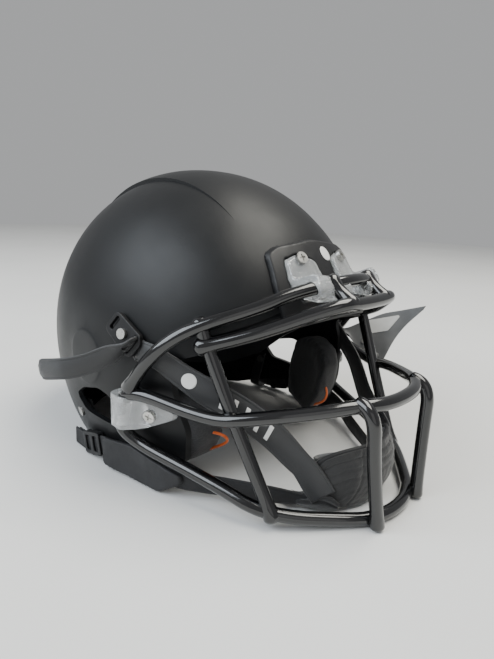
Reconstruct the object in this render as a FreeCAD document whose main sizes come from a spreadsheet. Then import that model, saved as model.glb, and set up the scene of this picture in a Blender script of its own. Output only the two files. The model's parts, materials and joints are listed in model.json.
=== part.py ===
# American football helmet, built as an assembly of separate pieces.
#
# Frame: millimetres, +Z up, the wearer faces -Y, and the wearer's right hand is at -X.
# The origin is on the surface that the helmet stands on, under the middle of its bounding box.
import FreeCAD, Part
import math
import os
import Sketcher

V = FreeCAD.Vector
X_AXIS = V(1, 0, 0)
Y_AXIS = V(0, 1, 0)
Z_AXIS = V(0, 0, 1)
ORIGIN = V(0, 0, 0)
SIDES = {"right": -1, "left": 1}

doc = FreeCAD.newDocument("football_helmet")

# ---------------------------------------------------------------- driving dimensions
DIMENSIONS = {
    "shell_half_width": 117.0,
    "shell_half_length": 143.0,
    "shell_crown_rise": 137.0,
    "shell_skirt_drop": 150.0,
    "shell_exponent": 2.15,
    "shell_centre_back": 29.0,
    "shell_centre_height": 84.4,
    "shell_thickness": 4.0,
    "crown_band_width": 92.0,
    "crown_band_rise": 2.2,
    "bumper_thickness": 4.0,
    "bar_radius": 4.5,
    "clip_width": 25.0,
    "clip_thickness": 5.5,
    "side_clip_width": 20.0,
    "screw_head_radius": 4.2,
    "screw_shank_radius": 2.5,
    "t_nut_radius": 8.0,
    "buckle_length": 30.0,
    "buckle_thickness": 3.6,
    "stud_shank_radius": 2.6,
    "stud_head_radius": 3.6,
    "stud_clearance": 0.05,
    "strap_thickness": 1.8,
    "strap_width": 19.0,
    "strap_narrow_width": 15.0,
    "guard_thickness": 3.2,
    "slider_thickness": 5.4,
    "cup_half_width": 52.0,
    "cup_half_depth": 46.0,
    "cup_half_height": 41.0,
    "cup_wall": 2.0,
    "cup_pad_thickness": 6.0,
    "absorber_depth": 19.4,
    "absorber_radius": 17.0,
    "bonnet_thickness": 1.6,
    "pad_depth": 12.0,
    "jaw_pad_depth": 19.0,
    "layer_gap": 0.3,
    "fit_cord_radius": 1.1,
    "snap_radius": 4.5,
}

sheet = doc.addObject("Spreadsheet::Sheet", "dims")
for row, (alias, value) in enumerate(DIMENSIONS.items(), start=1):
    sheet.set("A%d" % row, alias)
    sheet.set("B%d" % row, str(value))
    sheet.setAlias("B%d" % row, alias)
doc.recompute()


def dim(alias):
    return float(sheet.get(alias))


def bind(obj, prop, expression):
    """Drive a property of obj from the sheet; aliases are written bare in the expression."""
    words = expression.split()
    text = " ".join("dims." + word if word in DIMENSIONS else word for word in words)
    obj.setExpression(prop, text)


# ---------------------------------------------------------------- general makers
subparts = []


def subpart(obj, label):
    """Give an object its own label and list it as a piece of the helmet."""
    obj.Label = label
    subparts.append(obj)
    return obj


def shaped(label, shape):
    """An object whose shape comes straight from Part's functions."""
    obj = doc.addObject("Part::Feature", label)
    obj.Shape = shape
    return obj


def cut(label, base, tool):
    obj = doc.addObject("Part::Cut", label)
    obj.Base = base
    obj.Tool = tool
    return obj


def common(label, base, tool):
    obj = doc.addObject("Part::Common", label)
    obj.Base = base
    obj.Tool = tool
    return obj


def fuse(label, shapes):
    obj = doc.addObject("Part::MultiFuse", label)
    obj.Shapes = shapes
    return obj


def turned(origin, x_dir, z_dir):
    """The placement whose local X and Z run along x_dir and z_dir, as nearly as they can."""
    z_dir = V(z_dir).normalize()
    y_dir = z_dir.cross(x_dir).normalize()
    return FreeCAD.Placement(origin, FreeCAD.Rotation(y_dir.cross(z_dir), y_dir, z_dir, "ZXY"))


def looking(u_dir, v_dir, origin=ORIGIN):
    """The placement of an outline whose u and v run along two directions at right angles."""
    return FreeCAD.Placement(origin, FreeCAD.Rotation(u_dir, v_dir, u_dir.cross(v_dir), "ZXY"))


def box(label, x_range, y_range, z_range):
    obj = doc.addObject("Part::Box", label)
    obj.Length = x_range[1] - x_range[0]
    obj.Width = y_range[1] - y_range[0]
    obj.Height = z_range[1] - z_range[0]
    obj.Placement.Base = V(x_range[0], y_range[0], z_range[0])
    return obj


def cylinder(label, radius, height, base, direction):
    """A cylinder whose sizes are expressions, standing at base along direction."""
    obj = doc.addObject("Part::Cylinder", label)
    bind(obj, "Radius", radius)
    bind(obj, "Height", height)
    obj.Placement = FreeCAD.Placement(base, FreeCAD.Rotation(Z_AXIS, direction))
    return obj


def rounded_edges(corners, closed):
    """Straight runs joined by tangent arcs, through corners given as (point, radius)."""
    count = len(corners)
    points = [V(*corner[0]) for corner in corners]
    joints = []
    for i, (point, radius) in enumerate(zip(points, [corner[1] for corner in corners])):
        if radius <= 0 or (not closed and i in (0, count - 1)):
            joints.append((point, None, point))
            continue
        back = (points[i - 1] - point).normalize()
        ahead = (points[(i + 1) % count] - point).normalize()
        half_angle = back.getAngle(ahead) / 2
        reach = radius / math.tan(half_angle)
        middle = (back + ahead).normalize()
        nearest = radius / math.sin(half_angle) - radius
        joints.append((point + back * reach, point + middle * nearest, point + ahead * reach))
    edges = []
    for i in range(count if closed else count - 1):
        start = joints[i][2]
        end = joints[(i + 1) % count][0]
        if start.distanceToPoint(end) > 1e-6:
            edges.append(Part.LineSegment(start, end))
        following = joints[(i + 1) % count]
        if following[1] is not None:
            edges.append(Part.Arc(*following))
    return edges


def bent_path(points):
    """A wire of straight runs and tangent arcs, each arc as large as its runs allow."""
    points = [V(*point) for point in points]
    corners = [(points[0], 0)]
    for before, point, after in zip(points, points[1:], points[2:]):
        shorter = min(before.distanceToPoint(point), after.distanceToPoint(point))
        half_angle = (before - point).getAngle(after - point) / 2
        corners.append((point, 0.47 * shorter * math.tan(half_angle)))
    corners.append((points[-1], 0))
    return Part.Wire([edge.toShape() for edge in rounded_edges(corners, closed=False)])


def swept_rod(label, points, radius):
    """A round rod along a bent path: a circle swept along the path."""
    path = shaped(label + "_path", bent_path(points))
    start = path.Shape.Edges[0]
    section = doc.addObject("Part::Circle", label + "_section")
    bind(section, "Radius", radius)
    section.Placement = FreeCAD.Placement(
        start.valueAt(start.FirstParameter),
        FreeCAD.Rotation(Z_AXIS, start.tangentAt(start.FirstParameter)))
    rod = doc.addObject("Part::Sweep", label)
    rod.Sections = [section]
    rod.Spine = (path, ["Edge%d" % (i + 1) for i in range(len(path.Shape.Edges))])
    rod.Solid = True
    rod.Frenet = False
    return rod


def prism(label, corners, frame, depth, symmetric=True):
    """An outline of (u, v, corner radius) on a frame's XY plane, extruded along its Z axis."""
    sketch = doc.addObject("Sketcher::SketchObject", label + "_outline")
    sketch.Placement = frame
    edges = rounded_edges([((u, v, 0), radius) for u, v, radius in corners], closed=True)
    sketch.addGeometry([counterclockwise(edge) for edge in edges], False)
    close_outline(sketch)
    solid = doc.addObject("Part::Extrusion", label)
    solid.Base = sketch
    solid.DirMode = "Normal"
    solid.Solid = True
    solid.Symmetric = symmetric
    bind(solid, "LengthFwd", depth)
    return solid


def sheet_between(label, edge_pairs, thickness, offset=0.0, ruled=False):
    """A sheet lofted between matching points of its two long edges.

    offset moves the middle of the sheet off the pairs, along (second edge - first) x (length).
    """
    pairs = [(V(*first), V(*second)) for first, second in edge_pairs]
    middles = [(first + second) * 0.5 for first, second in pairs]
    sections = []
    for i, (first, second) in enumerate(pairs):
        along = middles[min(i + 1, len(pairs) - 1)] - middles[max(i - 1, 0)]
        face = (second - first).cross(along).normalize()
        low, high = face * (offset - thickness / 2), face * (offset + thickness / 2)
        corners = [first + low, second + low, second + high, first + high, first + low]
        sections.append(shaped("%s_section_%d" % (label, i + 1), Part.makePolygon(corners)))
    loft = doc.addObject("Part::Loft", label)
    loft.Sections = sections
    loft.Solid = True
    loft.Ruled = ruled
    return loft


def webbing(label, stations, thickness, ruled=False):
    """A flat strap through stations of (middle point, direction it faces, width)."""
    middles = [V(*station[0]) for station in stations]
    pairs = []
    for i, (_, facing, width) in enumerate(stations):
        along = middles[min(i + 1, len(middles) - 1)] - middles[max(i - 1, 0)]
        across = along.cross(V(*facing)).normalize() * (width / 2)
        pairs.append((middles[i] - across, middles[i] + across))
    return sheet_between(label, pairs, thickness, ruled=ruled)


def counterclockwise(edge):
    """The same edge; an arc is returned in the sense of rotation that a sketch stores."""
    middle = edge.value((edge.FirstParameter + edge.LastParameter) / 2)
    turn = (middle - edge.StartPoint).cross(edge.EndPoint - middle)
    return Part.Arc(edge.EndPoint, middle, edge.StartPoint) if turn.z < -1e-9 else edge


def close_outline(sketch):
    """Tie each edge of a sketch's loop to the next one."""
    geometry = sketch.Geometry
    ends = [(edge.StartPoint, edge.EndPoint) for edge in geometry]
    for i in range(len(geometry)):
        j = (i + 1) % len(geometry)
        gaps = {(a, b): ends[i][a].distanceToPoint(ends[j][b]) for a in (0, 1) for b in (0, 1)}
        a, b = min(gaps, key=gaps.get)
        sketch.addConstraint(Sketcher.Constraint("Coincident", i, a + 1, j, b + 1))


# ---------------------------------------------------------------- the shell's surface
CENTRE = V(0, dim("shell_centre_back"), dim("shell_centre_height"))
EXPONENT = dim("shell_exponent")


def half_axes(lift):
    names = ("shell_half_width", "shell_half_length", "shell_crown_rise", "shell_skirt_drop")
    return [dim(name) + lift for name in names]


def dome(lift, shortened=0.0):
    """The closed solid under the shell's outer surface, moved outwards by lift.

    shortened takes that much off its front only.
    """
    width, length, rise, drop = half_axes(lift)
    length -= shortened / 2
    steps = 24
    profile = []
    for i in range(steps + 1):
        turn = math.pi * i / steps
        reach = math.copysign(abs(math.cos(turn)) ** (2 / EXPONENT), math.cos(turn))
        profile.append(V(width * reach, width * abs(math.sin(turn)) ** (2 / EXPONENT), 0))
    profile[-1].y = 0
    curve = Part.BSplineCurve()
    curve.interpolate(Points=profile, InitialTangent=Y_AXIS, FinalTangent=-Y_AXIS)
    faces = []
    for angle, height in ((180, rise), (-180, drop)):
        half = curve.toShape().revolve(ORIGIN, X_AXIS, angle)
        stretch = FreeCAD.Matrix()
        stretch.scale(V(1, length / width, height / width))
        faces += half.transformGeometry(stretch).Faces
    skin = Part.makeShell(faces)
    skin.sewShape()
    solid = Part.makeSolid(skin)
    if solid.Volume < 0:
        solid.reverse()
    solid.translate(CENTRE + V(0, shortened / 2, 0))
    return solid


def ring_radius(y, z, lift):
    """How far out of the side axis a point lies, from 0 on the axis to 1 on the shell's rim line."""
    _, length, rise, drop = half_axes(lift)
    height = rise if z > CENTRE.z else drop
    return math.hypot((y - CENTRE.y) / length, (z - CENTRE.z) / height)


def side_point(side, y, z, lift=0.0):
    """The point of the shell's surface seen from the side at y and z."""
    width = half_axes(lift)[0]
    reach = (1 - ring_radius(y, z, lift) ** EXPONENT) ** (1 / EXPONENT)
    return V(side * width * reach, y, z)


def front_point(x, z, lift=0.0, back=False):
    """The point of the shell's surface seen from the front or the back at x and z."""
    width, length, rise, drop = half_axes(lift)
    height = rise if z > CENTRE.z else drop
    ring = (1 - abs(x / width) ** EXPONENT) ** (1 / EXPONENT)
    reach = length * math.sqrt(ring ** 2 - ((z - CENTRE.z) / height) ** 2)
    return V(x, CENTRE.y + (reach if back else -reach), z)


def surface_point(direction, lift=0.0):
    """The point of the shell's surface met by going out from its centre along a direction."""
    width, length, rise, drop = half_axes(lift)
    ring = math.hypot(direction.y / length, direction.z / (rise if direction.z > 0 else drop))
    total = abs(direction.x / width) ** EXPONENT + ring ** EXPONENT
    return CENTRE + direction * total ** (-1 / EXPONENT)


def outward(point):
    """The shell's outward direction at a point of its surface."""
    width, length, rise, drop = half_axes(0)
    height = rise if point.z > CENTRE.z else drop
    ring = ring_radius(point.y, point.z, 0)
    pull = ring ** (EXPONENT - 2)
    return V(math.copysign(abs(point.x / width) ** (EXPONENT - 1) / width, point.x),
             pull * (point.y - CENTRE.y) / length ** 2,
             pull * (point.z - CENTRE.z) / height ** 2).normalize()


def layer(label, inner_lift, outer_lift):
    """The space between two surfaces that follow the shell."""
    return cut(label, shaped(label + "_outside", dome(outer_lift)),
               shaped(label + "_inside", dome(inner_lift)))


THICKNESS = dim("shell_thickness")
GAP = dim("layer_gap")
ABSORBERS_IN = -(THICKNESS + GAP + dim("absorber_depth"))
BONNET_OUT = ABSORBERS_IN - GAP
BONNET_IN = BONNET_OUT - dim("bonnet_thickness")
PADS_OUT = BONNET_IN - GAP
PADS_IN = PADS_OUT - dim("pad_depth")
JAW_PADS_IN = -(THICKNESS + GAP + dim("jaw_pad_depth"))
FULL_WIDTH = "4 * shell_half_width"

# ---------------------------------------------------------------- shell
SIDE_VIEW = looking(Y_AXIS, Z_AXIS)
FRONT_HALF = looking(X_AXIS, Z_AXIS, V(0, -60, 0))
BACK_HALF = looking(X_AXIS, Z_AXIS, V(0, 240, 0))

FACE_AND_SKIRT = [
    (-150, 137, 0), (-108, 123.5, 20), (-89, 112, 20), (-56, 98.5, 10), (-42.5, 98, 6),
    (-51, 83, 10), (-58.5, 46, 30), (-50.5, 14, 11), (-27, 18.4, 20), (4, 21.5, 30),
    (36, 14, 30), (72, 3, 20), (95, 0, 20), (220, 0, 0), (220, -80, 0), (-150, -80, 0)]
EAR_HOLE = [
    (-5, 58, 12), (14, 63, 20), (36, 57, 14), (51, 47.5, 4), (38, 37, 12), (-4, 35.5, 7)]
VENT_SLOT = [(86, 118.5, 2.5), (42, 137, 2.5), (38.5, 133.5, 1.5), (42, 130, 2.5), (86, 112.5, 2.5)]
SCREW_PLACES = {
    "forehead_right": front_point(-22, 161), "forehead_left": front_point(22, 161),
    "side_right": side_point(-1, -39, 58.5), "side_left": side_point(1, -39, 58.5)}
STUD_PLACES = {side: side_point(sign, -18, 110.4) for side, sign in SIDES.items()}
ANCHOR_PLACES = {side: side_point(sign, 50.5, 31) for side, sign in SIDES.items()}
ANCHOR_RIVET = "0.8 * stud_shank_radius"


def pin_at(label, place, radius, inside, outside):
    """A cylinder square to the shell at a place on its surface, from inside to outside of it."""
    direction = outward(place)
    pin = doc.addObject("Part::Cylinder", label)
    bind(pin, "Radius", radius)
    pin.Height = inside + outside
    pin.Placement = FreeCAD.Placement(place - direction * inside,
                                      FreeCAD.Rotation(Z_AXIS, direction))
    return pin


face_and_skirt = prism("face_and_skirt", FACE_AND_SKIRT, SIDE_VIEW, FULL_WIDTH)
ear_holes = prism("ear_holes", EAR_HOLE, SIDE_VIEW, FULL_WIDTH)
vents = [
    prism("vent_" + side, [(sign * x, z, r) for x, z, r in VENT_SLOT], FRONT_HALF, "120")
    for side, sign in SIDES.items()]
screw_holes = {name: pin_at("screw_hole_" + name, place, "screw_shank_radius + 0.15", 30, 30)
               for name, place in SCREW_PLACES.items()}
stud_holes = [pin_at("stud_hole_" + side, place, "stud_shank_radius + 0.1", 30, 30)
              for side, place in STUD_PLACES.items()]
stud_holes += [pin_at("anchor_hole_" + side, place, ANCHOR_RIVET + " + 0.1", 30, 30)
               for side, place in ANCHOR_PLACES.items()]

band_half = dim("crown_band_width") / 2
raised = shaped("raised_dome", dome(dim("crown_band_rise"), shortened=5.2))
crown_band = common("crown_band", raised,
                    box("crown_band_limit", (-band_half, band_half), (-120, 190), (95, 240)))
dome_with_band = fuse("dome_with_band", [shaped("outer_dome", dome(0)), crown_band])
hollow_dome = cut("hollow_dome", dome_with_band, shaped("inner_dome", dome(-THICKNESS)))
shell_openings = fuse("shell_openings", [face_and_skirt, ear_holes] + vents
                      + list(screw_holes.values()) + stud_holes)
subpart(cut("outer_shell", hollow_dome, shell_openings), "outer_shell")

# ---------------------------------------------------------------- rear bumper
REAR_BUMPER = [
    (-40, 22, 8), (-47, 50, 20), (-42, 84.3, 8), (42, 84.3, 8), (47, 50, 20), (40, 22, 8)]
bumper_skin = layer("bumper_skin", 0.05, dim("bumper_thickness"))
subpart(common("rear_bumper", bumper_skin,
               prism("rear_plate_limit", REAR_BUMPER, BACK_HALF, "240")), "rear_bumper")

# ---------------------------------------------------------------- facemask wires
POST_MIDDLE = (-117.3, -22.0, 57.0)
MAIN_BAR = [
    POST_MIDDLE, (-119.5, -29.5, 77.5), (-97, -86, 66.5), (-86, -108.5, 71.5),
    (-57.5, -138.5, 78), (-36.5, -156, 82.5), (-16.5, -165.5, 82)]
CHIN_BAR = [
    POST_MIDDLE, (-115.3, -14.6, 36.5), (-91, -86, 20.5), (-80.5, -124, 10),
    (-34.5, -161, 5), (-22, -166.5, 4.5), (-9, -170.5, 4.5)]
UPPER_BROW_BAR = [
    (-118, -31.5, 78), (-117.5, -47, 99.5), (-102, -65.5, 121), (-65, -96, 136.5),
    (-48.5, -104.5, 144.5), (-17.5, -120.5, 152)]
LOWER_BROW_BAR = [(-94, -73.5, 111), (-79, -93.5, 117.5), (-31, -133, 141), (-16.5, -134.5, 139.5)]
SIDE_VERTICAL = [(-92, -70, 125), (-89, -84.5, 93.5), (-82.5, -104.5, 49.5), (-76.5, -125, 9)]
FRONT_VERTICAL = [(-36, -155, 84), (-37.5, -166.5, 82.5), (-34.5, -167.5, 50), (-27, -171.5, 3.5)]
BROW_TIE = [(-21, -116.5, 152), (-20, -133, 139.5)]


def mirrored(points, sign):
    """Points given for the right-hand side (-X), moved to either side."""
    return [(-sign * x, y, z) for x, y, z in points]


def both_halves(points):
    return points + mirrored(points, 1)[::-1]


for name, half in (("mask_main_bar", MAIN_BAR), ("mask_chin_bar", CHIN_BAR),
                   ("mask_upper_brow_bar", UPPER_BROW_BAR), ("mask_lower_brow_bar", LOWER_BROW_BAR)):
    subpart(swept_rod(name, both_halves(half), "bar_radius"), name)
for side, sign in SIDES.items():
    for name, points in (("mask_side_vertical_", SIDE_VERTICAL),
                         ("mask_front_vertical_", FRONT_VERTICAL), ("mask_brow_tie_", BROW_TIE)):
        subpart(swept_rod(name + side, mirrored(points, sign), "bar_radius"), name + side)

# ---------------------------------------------------------------- facemask clips
BAR_CLEARANCE = "bar_radius + 0.15"
brow_bar_room = swept_rod("brow_bar_room", both_halves(UPPER_BROW_BAR), BAR_CLEARANCE)
post_room = fuse("post_room", [
    swept_rod("main_bar_room", both_halves(MAIN_BAR), BAR_CLEARANCE),
    swept_rod("chin_bar_room", both_halves(CHIN_BAR), BAR_CLEARANCE)])
under_forehead_clips = shaped("under_forehead_clips", dome(dim("crown_band_rise") + 0.2))
under_side_clips = shaped("under_side_clips", dome(0.2))
brow_path = doc.getObject("mask_upper_brow_bar_path").Shape

FOREHEAD_CLIP = [(-11, 163, 4), (-23, 166.5, 8), (-34, 163, 4), (-36.5, 150, 6), (-31, 138, 5),
                 (-14, 140, 5), (-10, 150, 6)]
SIDE_CLIP = [(-12, 71, 3), (-31, 71.5, 7), (-54.5, 66, 4), (-55.5, 57, 4), (-39, 48.5, 9),
             (-12, 47.5, 3)]
SIDE_CLIP_FROM_ABOVE = [(-57, 100.2, 1), (-41, 109.0, 6), (-35.5, 118, 3), (-30, 125.6, 5),
                        (-16, 124.2, 5), (-11, 113, 3), (-11, 98, 0), (-57, 84, 0)]

CLIP_MIDDLE = (-23.5, 152)
POCKET_GROWTH = 1.05
CLIP_TOP = dim("clip_thickness")
screw_room = {}
for name, place in SCREW_PLACES.items():
    recess = pin_at("screw_recess_" + name, place, "screw_head_radius + 0.3", -CLIP_TOP, 30)
    screw_room[name] = fuse("screw_room_" + name, [screw_holes[name], recess])


def grown(outline, middle, factor):
    """An outline made larger about a middle point."""
    return [(middle[0] + (u - middle[0]) * factor, middle[1] + (v - middle[1]) * factor, radius)
            for u, v, radius in outline]


pockets = []
for side, sign in SIDES.items():
    place = SCREW_PLACES["forehead_" + side]
    normal = outward(place)
    bar_middle = brow_path.distToShape(Part.Vertex(place))[1][0][0]
    rise = (bar_middle - place).dot(normal)
    down = bar_middle - place - normal * rise
    reach = down.Length
    hook = [(-8, -9, 0), (-8, CLIP_TOP, 2), (reach - 9.5, CLIP_TOP, 3),
            (reach - 7, rise + 7.2, 4), (reach + 7.2, rise + 7.2, 6), (reach + 7.2, rise - 7, 5),
            (reach - 2, -9, 0)]
    hook_body = prism("forehead_hook_" + side, hook, looking(down.normalize(), normal, place),
                      "2.4 * clip_width")
    face = [(-sign * x, z, r) for x, z, r in FOREHEAD_CLIP]
    clip_body = common("forehead_clip_body_" + side, hook_body,
                       prism("forehead_clip_limit_" + side, face, FRONT_HALF, "160"))
    tie_room = swept_rod("brow_tie_room_" + side, mirrored(BROW_TIE, sign), BAR_CLEARANCE)
    room = fuse("forehead_clip_room_" + side,
                [under_forehead_clips, brow_bar_room, tie_room, screw_room["forehead_" + side]])
    subpart(cut("forehead_clip_" + side, clip_body, room), "forehead_clip_" + side)
    pocket = [(-sign * x, z, r) for x, z, r in grown(FOREHEAD_CLIP, CLIP_MIDDLE, POCKET_GROWTH)]
    pockets.append(prism("forehead_pocket_" + side, pocket, FRONT_HALF, "120"))

    outline = [(sign * x, y, r) for y, x, r in SIDE_CLIP_FROM_ABOVE]
    block = prism("side_clip_block_" + side, outline, looking(X_AXIS, Y_AXIS, V(0, 0, 59.5)),
                  "2 * side_clip_width")
    clip_body = common("side_clip_body_" + side, block,
                       prism("side_clip_limit_" + side, SIDE_CLIP, SIDE_VIEW, FULL_WIDTH))
    room = fuse("side_clip_room_" + side,
                [under_side_clips, post_room, screw_room["side_" + side]])
    subpart(cut("side_clip_" + side, clip_body, room), "side_clip_" + side)

# ---------------------------------------------------------------- front bumper, notched for the clips
FRONT_BUMPER = [
    (-46, 90, 0), (-46.5, 146, 20), (-43, 167, 7), (-34, 171.5, 20), (0, 176, 60),
    (34, 171.5, 20), (43, 167, 7), (46.5, 146, 20), (46, 90, 0)]
front_plate = common("front_plate", bumper_skin,
                     prism("front_plate_limit", FRONT_BUMPER, FRONT_HALF, "120"))
front_screw_holes = [screw_holes["forehead_" + side] for side in SIDES]
subpart(cut("front_bumper", front_plate, fuse(
    "front_plate_openings", [face_and_skirt] + front_screw_holes + pockets)), "front_bumper")

# ---------------------------------------------------------------- screws, nuts and studs
screws, nuts, studs = [], [], []
for name, place in SCREW_PLACES.items():
    normal = outward(place)
    head = pin_at("screw_head_" + name, place, "screw_head_radius",
                  -(CLIP_TOP + 0.1), CLIP_TOP + 2.6)
    shank = pin_at("screw_shank_" + name, place, "screw_shank_radius", 11, CLIP_TOP + 0.3)
    across = turned(place + normal * (CLIP_TOP + 1.4), X_AXIS, normal)
    slots = []
    for turn in (0, 90):
        slot = doc.addObject("Part::Box", "screw_slot_%s_%d" % (name, turn))
        slot.Length, slot.Width, slot.Height = 5.0, 1.1, 3.0
        slot.Placement = across * FreeCAD.Placement(
            ORIGIN, FreeCAD.Rotation(Z_AXIS, turn)) * FreeCAD.Placement(
            V(-2.5, -0.55, 0), FreeCAD.Rotation())
        slots.append(slot)
    screws.append(cut("screw_" + name, fuse("screw_body_" + name, [head, shank]),
                      fuse("screw_cross_" + name, slots)))
    flange = pin_at("nut_flange_" + name, place, "t_nut_radius", 6.1, -4.6)
    barrel = pin_at("nut_barrel_" + name, place, "screw_shank_radius + 1.3", 10.5, -5.0)
    nuts.append(cut("nut_" + name, fuse("nut_body_" + name, [flange, barrel]),
                    pin_at("nut_hole_" + name, place, "screw_shank_radius + 0.1", 40, 40)))

STUD_TOP = 1.7 + dim("buckle_thickness")
for side, place in STUD_PLACES.items():
    studs.append(fuse("stud_" + side, [
        pin_at("stud_shank_" + side, place, "stud_shank_radius", 5.0, STUD_TOP + 1.0),
        pin_at("stud_head_" + side, place, "stud_head_radius", -(STUD_TOP + 0.15), STUD_TOP + 2.3),
        pin_at("stud_collar_" + side, place, "1.9 * stud_shank_radius", -0.05, 1.55),
        pin_at("stud_flange_" + side, place, "2.6 * stud_shank_radius", 5.9, -4.4)]))


def gathered(label, pieces):
    group = doc.addObject("Part::Compound", label)
    group.Links = pieces
    return subpart(group, label)


gathered("clip_screws", screws)
gathered("clip_t_nuts", nuts)
gathered("buckle_studs", studs)

# ---------------------------------------------------------------- upper buckles
BUCKLE = [(-14.4, -9, 4), (-14.4, 7.5, 4), (11, 9.5, 3), (15.6, 5, 4), (15.6, -6, 4), (11, -10, 3)]
REAR_SLOT = [(-11.8, -5.5, 1.5), (-8.3, -5.5, 1.5), (-8.3, 5.5, 1.5), (-11.8, 5.5, 1.5)]
FRONT_SLOT = [(8, -7.6, 1.5), (11.6, -7.6, 1.5), (11.6, 7.4, 1.5), (8, 7.4, 1.5)]
BUCKLE_REACH = 16.6
BUCKLE_BASE = 1.7
buckle_room = {}
buckle_frames = {}
for side, sign in SIDES.items():
    place = STUD_PLACES[side]
    normal = outward(place)
    frame = turned(place + normal * BUCKLE_BASE, V(-sign * 0.10, -0.79, -0.60), normal)
    buckle_frames[side] = frame
    plate = prism("buckle_plate_" + side, [(u, -sign * v, r) for u, v, r in BUCKLE],
                  frame, "buckle_thickness", symmetric=False)
    holes = fuse("buckle_holes_" + side, [
        prism("rear_slot_" + side, REAR_SLOT, frame, "3 * buckle_thickness"),
        prism("front_slot_" + side, FRONT_SLOT, frame, "3 * buckle_thickness"),
        pin_at("buckle_bore_" + side, place, "stud_shank_radius + stud_clearance", 10, 20)])
    subpart(cut("upper_buckle_" + side, plate, holes), "upper_buckle_" + side)
    buckle_room[side] = pin_at("buckle_sweep_" + side, place, "stud_shank_radius", 30, 30)
    buckle_room[side].setExpression("Radius", "dims.buckle_length / 2 + 2")

# ---------------------------------------------------------------- upper straps
STRAP = dim("strap_thickness")
WIDE = dim("strap_width")
NARROW = dim("strap_narrow_width")
CUP_AXIS = V(0, -131, 13)
cup_sweep = cylinder("cup_sweep", "buckle_length / 2", "200", CUP_AXIS - X_AXIS * 100, X_AXIS)
cup_sweep_room = cylinder("cup_sweep_room", "buckle_length / 2 + 3", "200",
                          CUP_AXIS - X_AXIS * 100, X_AXIS)
CUP_MIDDLE = V(0, -112, 24)


def ellipsoid(label, lift):
    """The chin cup's surface as a closed body, moved out by lift."""
    body = doc.addObject("Part::Ellipsoid", label)
    bind(body, "Radius1", "cup_half_height + %s" % lift)
    bind(body, "Radius2", "cup_half_width + %s" % lift)
    bind(body, "Radius3", "cup_half_depth + %s" % lift)
    body.Angle1, body.Angle2, body.Angle3 = -90, 90, 360
    body.Placement.Base = CUP_MIDDLE
    return body


UPPER_STRAPS = {
    "right": [
        ((-111, -31, 102), (-0.95, -0.28, 0.12), NARROW),
        ((-107, -44, 99.5), (-0.95, -0.28, 0.12), NARROW),
        ((-102.5, -54, 94.4), (-0.92, -0.36, 0.13), NARROW + 1),
        ((-97, -62.6, 88.1), (-0.89, -0.43, 0.14), NARROW + 2),
        ((-89, -75.1, 80.3), (-0.85, -0.48, 0.15), WIDE),
        ((-76, -92.7, 69.4), (-0.82, -0.52, 0.15), WIDE + 1),
        ((-64, -109.7, 55.8), (-0.84, -0.50, 0.05), WIDE + 1),
        ((-54, -123.7, 39.5), (-0.85, -0.48, -0.10), WIDE),
        ((-50.3, -129.1, 33.4), (-0.85, -0.47, -0.15), WIDE),
        ((-44.8, -137.2, 22.2), (-0.80, -0.59, -0.09), WIDE)],
    "left": [
        ((110.4, -30, 101), (0.95, -0.28, 0.12), NARROW),
        ((107.9, -38, 89), (0.93, -0.30, -0.05), NARROW),
        ((102.8, -52, 77.5), (0.91, -0.40, -0.08), NARROW + 1),
        ((97, -67.4, 66.5), (0.90, -0.42, -0.10), NARROW + 2),
        ((92, -77.5, 56.4), (0.88, -0.46, -0.10), WIDE),
        ((81.5, -92.8, 42), (0.85, -0.48, -0.15), WIDE),
        ((71.5, -109.7, 31.6), (0.84, -0.50, -0.15), WIDE),
        ((61, -125.7, 24.6), (0.80, -0.56, -0.12), WIDE),
        ((52, -132.5, 23.2), (0.75, -0.62, -0.10), WIDE),
        ((43.6, -140.0, 22.2), (0.74, -0.66, -0.09), WIDE)]}
cup_outside = ellipsoid("cup_outside", 0.1)
upper_ends, lower_ends = [], []
for side, stations in UPPER_STRAPS.items():
    whole = webbing("upper_webbing_" + side, stations, STRAP)
    subpart(cut("upper_strap_" + side, whole, fuse(
        "upper_strap_ends_" + side, [buckle_room[side], cup_sweep_room])), "upper_strap_" + side)
    upper_ends.append(cut("cup_upper_end_" + side,
                          common("cup_upper_end_blank_" + side, whole, cup_sweep), cup_outside))
gathered("cup_strap_ends_upper", upper_ends)

frame = buckle_frames["right"]
slot_exit = [frame.multVec(V(9.8, -0.3, 1.0)), frame.multVec(V(9.4, -1.2, 5.6))]
RIGHT_TAIL = [
    (slot_exit[0], (-0.10, 0.79, 0.60), NARROW - 1.4),
    (slot_exit[1], (-0.05, 0.80, 0.55), NARROW - 1.2),
    ((-122, -19.2, 99.4), (0.35, 0.85, 0.25), NARROW - 0.5),
    ((-128, -13.6, 95.0), (0.50, 0.75, 0.05), NARROW),
    ((-135, -8.6, 91.4), (0.50, 0.75, 0.0), NARROW),
    ((-144, -1.4, 88.4), (0.62, 0.66, 0.0), NARROW),
    ((-150.5, 7.6, 86.6), (0.80, 0.50, 0.0), NARROW),
    ((-154, 22.4, 83.2), (0.93, 0.25, 0.0), NARROW)]
tail = webbing("tail_webbing", RIGHT_TAIL, STRAP)
TAIL_END = [(-60, 60, 0), (10, 60, 0), (21, 77.5, 4), (24.5, 87, 5), (15, 120, 0), (-60, 120, 0)]
trimmed_tail = common("trimmed_tail", tail, prism("tail_limit", TAIL_END, SIDE_VIEW, FULL_WIDTH))
subpart(cut("upper_strap_tail_right", trimmed_tail, doc.getObject("upper_buckle_right")),
        "upper_strap_tail_right")

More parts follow.
